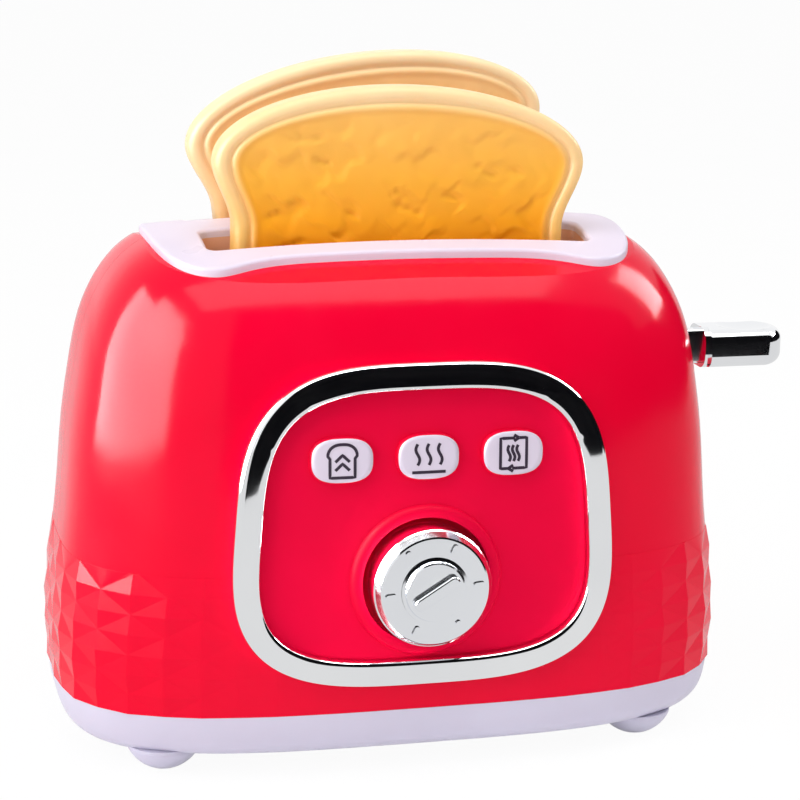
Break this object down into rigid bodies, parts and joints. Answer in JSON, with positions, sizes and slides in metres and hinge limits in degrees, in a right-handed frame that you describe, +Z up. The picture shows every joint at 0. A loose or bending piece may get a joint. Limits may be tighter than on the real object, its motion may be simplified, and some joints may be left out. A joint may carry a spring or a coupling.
{
  "type": "toy toaster",
  "caption": "Pretend-play toaster with a faceted curved housing, push-down sprung lever, turning timer knob and loose slices of toy bread in its slots.",
  "frame": {"origin": "middle of the overall footprint on the table", "axes": "+X along the long side towards the lever, +Y from the front panel to the back, +Z up"},
  "size_m": [0.2272, 0.133, 0.199],
  "materials": {
    "shell_red": "glossy moulded, diamond-faceted foot",
    "panel_red": "satin",
    "collar_white": "glossy moulded",
    "base_white": "satin gloss moulded",
    "plated": "vacuum-metallised bright plating over plastic",
    "knob_plated": "vacuum-metallised pale satin plating",
    "inner_white": "as moulded",
    "nylon": "as moulded",
    "steel": "drawn and plated",
    "bread": "soft matt, toasted yellow to orange"
  },
  "bodies": {
    "housing": {"front_shell": "shell_red", "rear_shell": "shell_red", "top_collar": "collar_white", "base": "base_white", "bezel_ring": "plated", "control_panel": "panel_red", "front_well": "inner_white", "rear_well": "inner_white", "timer_case": "inner_white", "timer_cover": "inner_white", "click_pawl": "steel", "timer_screws": "steel", "guide_rod": "steel", "steady_rod": "steel", "rod_bracket": "nylon", "bracket_screws": "steel", "return_spring": "steel", "catch_pin": "steel", "case_screws": "steel"},
    "carriage": {"carriage": "nylon", "lever_arm": "nylon", "lever_knob": "plated", "lever_screw": "steel"},
    "timer": {"timer_knob": "knob_plated", "knob_cap": "plated", "knob_shaft": "nylon", "star_wheel": "nylon"},
    "catch": {"catch": "nylon"},
    "front_bread": {"front_slice": "bread"},
    "rear_bread": {"rear_slice": "bread"}
  },
  "joints": [
    {"name": "lever_press", "type": "slide", "parent": "housing", "child": "carriage", "axis": [0, 0, -1], "range_m": [0, 0.044], "stiffness_N_per_m": 90, "springref_m": -0.06, "deforming": ["return_spring"]},
    {"name": "timer_turn", "type": "hinge", "parent": "housing", "child": "timer", "pos_m": [-0.01341, -0.05347, 0.058], "axis": [0, 1, 0], "range_deg": [0, 270]},
    {"name": "catch_swing", "type": "hinge", "parent": "housing", "child": "catch", "pos_m": [0.07059, 0.02303, 0.024], "axis": [1, 0, 0], "range_deg": [0, 8], "stiffness_Nm_per_rad": 0.02, "springref_deg": -5.73},
    {"name": "front_bread_lift", "type": "slide", "parent": "carriage", "child": "front_bread", "axis": [0, 0, 1], "range_m": [0, 0.12]},
    {"name": "rear_bread_lift", "type": "slide", "parent": "carriage", "child": "rear_bread", "axis": [0, 0, 1], "range_m": [0, 0.12]}
  ]
}
